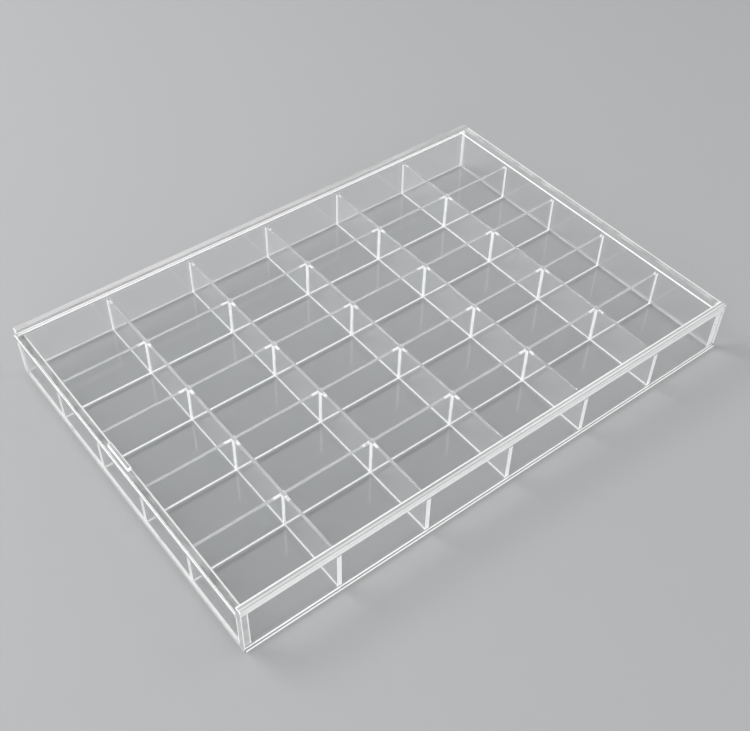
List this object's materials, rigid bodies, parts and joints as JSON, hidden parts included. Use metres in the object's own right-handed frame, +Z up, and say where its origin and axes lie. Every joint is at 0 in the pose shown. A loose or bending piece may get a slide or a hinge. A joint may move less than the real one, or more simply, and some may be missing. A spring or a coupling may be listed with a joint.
{
  "type": "compartment jewellery box",
  "caption": "Flat clear acrylic jewellery box: a grid of open-topped compartments under a clear lid that slides in grooves in the long walls and is drawn out by a small bar.",
  "frame": {"origin": "middle of the base plate's underside, on the surface that the case stands on", "axes": "+X along the case from the end where the lid is drawn out to the far end, +Y across the case from the front wall to the back wall, +Z up"},
  "size_m": [0.3524, 0.24, 0.0365],
  "materials": {
    "clear_sheet": "clear cast acrylic, polished edges",
    "lid_sheet": "clear cast acrylic, polished edges",
    "pull_bar": "clear cast acrylic, polished"
  },
  "bodies": {
    "case": {"base_plate": "clear_sheet", "front_wall": "clear_sheet", "back_wall": "clear_sheet", "pull_end_wall": "clear_sheet", "far_end_wall": "clear_sheet", "cross_divider_1": "clear_sheet", "cross_divider_2": "clear_sheet", "cross_divider_3": "clear_sheet", "cross_divider_4": "clear_sheet", "cross_divider_5": "clear_sheet", "long_divider_1": "clear_sheet", "long_divider_2": "clear_sheet", "long_divider_3": "clear_sheet", "long_divider_4": "clear_sheet"},
    "lid": {"lid": "lid_sheet", "finger_pull": "pull_bar"}
  },
  "joints": [
    {"name": "lid_slide", "type": "slide", "parent": "case", "child": "lid", "axis": [-1, 0, 0], "range_m": [0, 0.35]}
  ]
}
